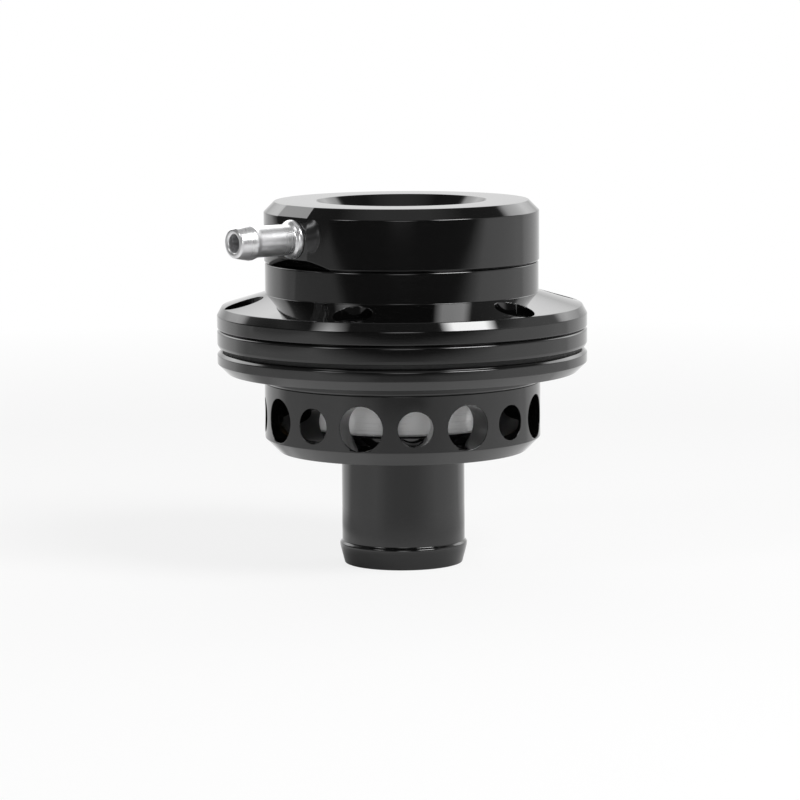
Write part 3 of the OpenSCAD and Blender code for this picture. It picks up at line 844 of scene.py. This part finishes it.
class VALVE_OT_spring(bpy.types.Operator):
    """Coil the steel spring at one length; the real spring shortens as the valve lifts."""

    bl_idname = "valve.spring"
    bl_label = "Spring"

    def execute(self, context):
        inner = context.scene.valve.inner
        z0, z1 = low("main_spring"), top("main_spring")
        closed_pitch = 2.05 * inner.wire
        open_pitch = (z1 - z0 - 2 * inner.wire - 2 * closed_pitch) / inner.turns
        bm = bmesh.new()
        bmesh.ops.create_circle(
            bm, segments=16, radius=inner.wire,
            matrix=Matrix.Translation((inner.spring, 0, z0 + inner.wire)) @ Matrix.Rotation(math.pi / 2, 4, "X"),
        )
        ring = bm.edges[:]
        steps = 48
        for turns, pitch in ((1, closed_pitch), (inner.turns, open_pitch), (1, closed_pitch)):
            count = round(turns * steps)
            grown = bmesh.ops.spin(
                bm, geom=ring, cent=(0, 0, 0), axis=(0, 0, 1), dvec=(0, 0, pitch / steps),
                angle=math.tau * turns, steps=count,
            )
            ring = [e for e in grown["geom_last"] if isinstance(e, bmesh.types.BMEdge)]
        bmesh.ops.holes_fill(bm, edges=[e for e in bm.edges if e.is_boundary], sides=0)
        bmesh.ops.remove_doubles(bm, verts=bm.verts, dist=1e-7)
        bmesh.ops.recalc_face_normals(bm, faces=bm.faces)
        piece = piece_from("main_spring_coiled", bm)
        piece.data.shade_smooth()
        piece.data.set_sharp_from_angle(angle=math.radians(40))
        dress(piece, finish_named("spring_steel"), "housing", "steel", "main_spring")
        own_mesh(piece)
        return {"FINISHED"}


class VALVE_OT_inner_pieces(bpy.types.Operator):
    """Give the small pieces inside their own finishes."""

    bl_idname = "valve.inner_pieces"
    bl_label = "Inner pieces"

    def execute(self, context):
        kept = {
            "turned_bronze": ("guide_bush", "threaded_insert"),
            "moulded_rubber": ("piston_wiper", "piston_face_seal", "housing_o_ring", "cap_o_ring"),
            "ring_steel": ("bush_retaining_ring", "centre_washer", "centre_screw", "spring_seat"),
            "plate_alloy": ("lower_diaphragm_plate", "upper_diaphragm_plate"),
        }
        for finish, nodes in kept.items():
            for node in nodes:
                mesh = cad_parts[node].data
                mesh.materials.clear()
                mesh.materials.append(finish_named(finish))
        return {"FINISHED"}


# Stage


def studio_axes(studio):
    """Unit vectors to the picture's right and away from the camera, along the floor."""
    right = Vector((math.cos(studio.azimuth), math.sin(studio.azimuth), 0))
    away = Vector((-math.sin(studio.azimuth), math.cos(studio.azimuth), 0))
    return right, away


def add_camera(studio):
    """The camera, at the photograph's viewing angle."""
    right, away = studio_axes(studio)
    data = bpy.data.cameras.new("camera")
    data.sensor_width = 36
    data.lens = studio.lens
    data.clip_end = 100
    camera = bpy.data.objects.new("camera", data)
    bpy.context.collection.objects.link(camera)
    place = -away * studio.distance + Vector((0, 0, studio.height))
    aim = Vector((0, 0, studio.aim)) - right * studio.aim_left
    look = (aim - place).to_track_quat("-Z", "Y").to_matrix().to_4x4()
    camera.matrix_world = Matrix.Translation(place) @ look @ Matrix.Rotation(-studio.roll, 4, "Z")
    bpy.context.scene.camera = camera


def soft_edges(data, starts):
    """Fades a panel towards its edges, from these shares of its half width and half height."""
    data.use_nodes = True
    tree = data.node_tree
    emission = next(node for node in tree.nodes if node.type == "EMISSION")
    place = add_node(tree, "NewGeometry", {}).outputs["Parametric"]
    split = add_node(tree, "SeparateXYZ", {"Vector": place})
    shares = []
    for socket, start in zip(split.outputs, starts):
        middle = math_node(tree, "ABSOLUTE", span(tree, socket, -1.0, 1.0))
        shares.append(span(tree, middle, 1.0, 0.0, start, 1.0))
    tree.links.new(math_node(tree, "MULTIPLY", *shares), emission.inputs["Strength"])


def add_panel(name, place, facing, along, size, power, starts):
    """A rectangular light panel. Its face looks along facing and its long side runs along."""
    data = bpy.data.lights.new(name, "AREA")
    data.shape = "RECTANGLE"
    data.size, data.size_y = size
    data.energy = power
    soft_edges(data, starts)
    lamp = bpy.data.objects.new(name, data)
    bpy.context.collection.objects.link(lamp)
    back = -facing.normalized()
    side = (along - back * along.dot(back)).normalized()
    turned = Matrix((side, back.cross(side), back)).transposed().to_4x4()
    lamp.matrix_world = Matrix.Translation(place) @ turned


# Directions of the softboxes: shares to their side, towards the camera and up
KEY_DIRECTION = (0.555, 0.455, 0.695)
FILL_DIRECTION = (0.625, 0.49, 0.605)
# Run of their long sides: shares to their side, away from the camera and up
SOFTBOX_RUN = (0.39, 0.385, -0.115)
# Length of the left softbox as a share of the right one's
FILL_LENGTH = 0.7
# Distance of the front panel as a share of the camera's
FRONT_FAR = 1.5


def add_lights(studio):
    """Two softboxes overhead, a small panel above the camera and a broad one behind."""
    right, away = studio_axes(studio)
    up = Vector((0, 0, 1))
    target = Vector((0, 0, top("lower_flange")))
    for name, side, direction, power, size, starts in (
        ("key_softbox", right, KEY_DIRECTION, studio.key, 1.0, (0.55, 0.7)),
        ("fill_softbox", -right, FILL_DIRECTION, studio.fill, FILL_LENGTH, (0.1, 0.3)),
    ):
        direction = (direction[0] * side - direction[1] * away + direction[2] * up).normalized()
        along = SOFTBOX_RUN[0] * side + SOFTBOX_RUN[1] * away + SOFTBOX_RUN[2] * up
        place = target + direction * studio.softbox_far
        add_panel(name, place, -direction, along, (size * studio.softbox, studio.softbox_w), power, starts)
    place = -away * FRONT_FAR * studio.distance + up * studio.front_z
    square = (studio.front_w, studio.front_w)
    add_panel("front_panel", place, target - place, right, square, studio.front, (0.3, 0.3))
    place = away * studio.back_far + up * studio.back_z
    add_panel("back_panel", place, -away, right, (studio.back_w, studio.back_h), studio.back, (0.8, 0.5))


# How bright the room is in reflections, before it is held to white: degrees from the camera's side, clockwise
# from above, and level
ROOM = (
    (-180, 1.5), (-142, 1.5), (-125, 1.1), (-117, 0.8), (-108, 0.6), (-90, 0.75), (-64, 0.85), (-50, 0.9),
    (-38, 0.78), (-28, 0.66), (-12, 0.6), (12, 0.6), (25, 0.64), (40, 0.78), (52, 0.9), (70, 1.1), (82, 1.0),
    (110, 0.9), (118, 0.8), (126, 1.15), (136, 1.5), (180, 1.5),
)


def room_level(tree, vector, studio, reach, share):
    """Brightness of the room towards a place or a direction, white at most. It fades to the left and in front."""
    right, away = studio_axes(studio)
    parts = []
    for axis in (right, -away):
        dot = add_node(tree, "VectorMath", {0: vector, 1: axis}, operation="DOT_PRODUCT")
        parts.append(dot.outputs["Value"])
    angle = span(tree, math_node(tree, "ARCTAN2", *parts), 0.0, 1.0, -math.pi, math.pi)
    ramp = add_node(tree, "ValToRGB", {"Fac": angle})
    stops = ramp.color_ramp.elements
    stops[0].color, stops[1].color = ((level, level, level, 1) for _, level in (ROOM[0], ROOM[-1]))
    for degrees, level in ROOM[1:-1]:
        stops.new((degrees + 180) / 360).color = (level, level, level, 1)
    level = ramp.outputs["Color"]
    behind = span(tree, parts[1], 2.0, 0.0, -0.6 * reach, -0.2 * reach)
    close = span(tree, parts[1], 2.0, 0.0, -0.4 * reach, 0.68 * reach)
    aside = span(tree, math_node(tree, "ABSOLUTE", parts[0]), 0.36, 1.2, 0.17 * reach, 0.64 * reach)
    for limit in (
        span(tree, parts[1], 2.0, 0.06, 0.08 * reach, reach),
        math_node(tree, "ADD", close, aside),
        math_node(tree, "ADD", behind, span(tree, parts[0], 0.43, 1.7, -1.06 * reach, -0.53 * reach)),
        span(tree, parts[0], 0.12, 2.0, -1.7 * reach, -1.06 * reach),
    ):
        level = math_node(tree, "MINIMUM", level, limit)
    return math_node(tree, "MINIMUM", math_node(tree, "MULTIPLY", level, share), 1.0)


def ray_kind(tree):
    """Factors for camera rays and for rays that show reflections or what is behind glass."""
    rays = add_node(tree, "LightPath", {}).outputs
    mirrored = math_node(tree, "MAXIMUM", rays["Is Glossy Ray"], rays["Is Transmission Ray"])
    return rays["Is Camera Ray"], mirrored


def add_world(studio):
    """A room that is white behind the valve and dark in front of it and overhead."""
    world = bpy.data.worlds.new("studio")
    world.use_nodes = True
    tree = world.node_tree
    tree.nodes.clear()
    place = add_node(tree, "TexCoord", {}).outputs["Generated"]
    up = add_node(tree, "SeparateXYZ", {"Vector": place}).outputs["Z"]
    overhead = span(tree, up, 0.0, 1.0, 0.58, 0.68)
    zenith = span(tree, up, 0.1, 0.38, 0.88, 0.98)
    level = blend_value(tree, overhead, room_level(tree, place, studio, 0.5, 0.7), zenith)
    camera_ray, mirrored = ray_kind(tree)
    shown = blend_value(tree, camera_ray, blend_value(tree, mirrored, studio.ambient, level), 1.0)
    background = add_node(tree, "Background", {"Color": (1, 1, 1, 1), "Strength": shown})
    add_node(tree, "OutputWorld", {"Surface": background.outputs["Background"]})
    bpy.context.scene.world = world


def add_floor(studio):
    """A white floor that keeps the valve's shadow. In reflections it turns into the room farther out."""
    bm = bmesh.new()
    bmesh.ops.create_grid(bm, x_segments=8, y_segments=8, size=studio.floor_size / 2)
    floor = piece_from("floor", bm)
    material, tree, shader, place = new_material("floor_white")
    tree.nodes.remove(shader)
    reach = add_node(tree, "VectorMath", {0: place}, operation="LENGTH").outputs["Value"]
    beneath = span(tree, reach, 1.0, 0.0, studio.far * 0.55, studio.far * 0.8)
    flat = room_level(tree, place, studio, studio.table, 1.0)
    below = math_node(tree, "ADD", math_node(tree, "MULTIPLY", flat, 0.75), studio.under)
    below = math_node(tree, "MINIMUM", below, 1.0)  # white at most
    white = add_node(tree, "Emission", {})
    # Painted room light: in reflections the floor glows with the room's brightness, and glows brighter below the
    # valve.
    room = add_node(tree, "Emission", {"Strength": blend_value(tree, beneath, flat, below)})
    faded = span(tree, reach, 0.0, 1.0, studio.near, studio.far)
    apart = span(tree, reach, 0.0, 0.8, studio.near * 0.4, studio.near * 0.6)
    faded = math_node(tree, "MAXIMUM", faded, math_node(tree, "MULTIPLY", beneath, apart))
    camera_ray, mirrored = ray_kind(tree)
    bright = span(tree, reach, studio.floor_white, 1.0, studio.table / 2, studio.table)
    surface = add_node(tree, "BsdfDiffuse", {"Color": (*studio.floor, 1)}).outputs["BSDF"]
    for shown, other in ((math_node(tree, "MULTIPLY", camera_ray, bright), white),
                         (math_node(tree, "MULTIPLY", mirrored, faded), room)):
        inputs = {"Fac": shown, 1: surface, 2: other.outputs["Emission"]}
        surface = add_node(tree, "MixShader", inputs).outputs["Shader"]
    output = next(n for n in tree.nodes if n.type == "OUTPUT_MATERIAL")
    tree.links.new(surface, output.inputs["Surface"])
    floor.data.materials.append(material)


class VALVE_OT_stage(bpy.types.Operator):
    """Set the camera, the softboxes, the white room and the floor."""

    bl_idname = "valve.stage"
    bl_label = "Stage"

    def execute(self, context):
        studio = context.scene.valve.studio
        add_camera(studio)
        add_lights(studio)
        add_world(studio)
        add_floor(studio)
        context.scene.view_settings.view_transform = "Standard"
        return {"FINISHED"}


class VALVE_PT_panel(bpy.types.Panel):
    """Lists the valve's pieces and its stage."""

    bl_idname = "VALVE_PT_panel"
    bl_label = "Blow Off Valve"
    bl_space_type = "VIEW_3D"
    bl_region_type = "UI"
    bl_category = "Valve"

    def draw(self, context):
        for operator in OPERATORS:
            self.layout.operator(operator.bl_idname)
        settings = context.scene.valve
        for name in ("body", "flange", "cap", "inner", "finish", "studio"):
            group, box = getattr(settings, name), self.layout.box()
            for name in group.bl_rna.properties.keys():
                if name not in ("rna_type", "name"):
                    box.prop(group, name)


GROUPS = (BodySizes, FlangeSizes, CapSizes, InnerSizes, Finishes, StudioSettings, ValveSettings)
OPERATORS = (
    VALVE_OT_hose_spigot,
    VALVE_OT_vent_chamber,
    VALVE_OT_lower_flange,
    VALVE_OT_clamp_ring,
    VALVE_OT_upper_housing,
    VALVE_OT_top_cap,
    VALVE_OT_nipple,
    VALVE_OT_flange_screws,
    VALVE_OT_piston,
    VALVE_OT_diaphragm,
    VALVE_OT_spring,
    VALVE_OT_inner_pieces,
    VALVE_OT_stage,
)


def register():
    for cls in (*GROUPS, *OPERATORS, VALVE_PT_panel):
        bpy.utils.register_class(cls)
    bpy.types.Scene.valve = PointerProperty(type=ValveSettings)


def unregister():
    del bpy.types.Scene.valve
    for cls in reversed((*GROUPS, *OPERATORS, VALVE_PT_panel)):
        bpy.utils.unregister_class(cls)


def main():
    """Makes every piece and the stage."""
    register()
    bpy.ops.valve.stage()
    bpy.ops.valve.hose_spigot()
    bpy.ops.valve.vent_chamber()
    bpy.ops.valve.lower_flange()
    bpy.ops.valve.clamp_ring()
    bpy.ops.valve.upper_housing()
    bpy.ops.valve.top_cap()
    bpy.ops.valve.nipple()
    bpy.ops.valve.flange_screws()
    bpy.ops.valve.piston()
    bpy.ops.valve.diaphragm()
    bpy.ops.valve.spring()
    bpy.ops.valve.inner_pieces()


if __name__ == "__main__":
    main()
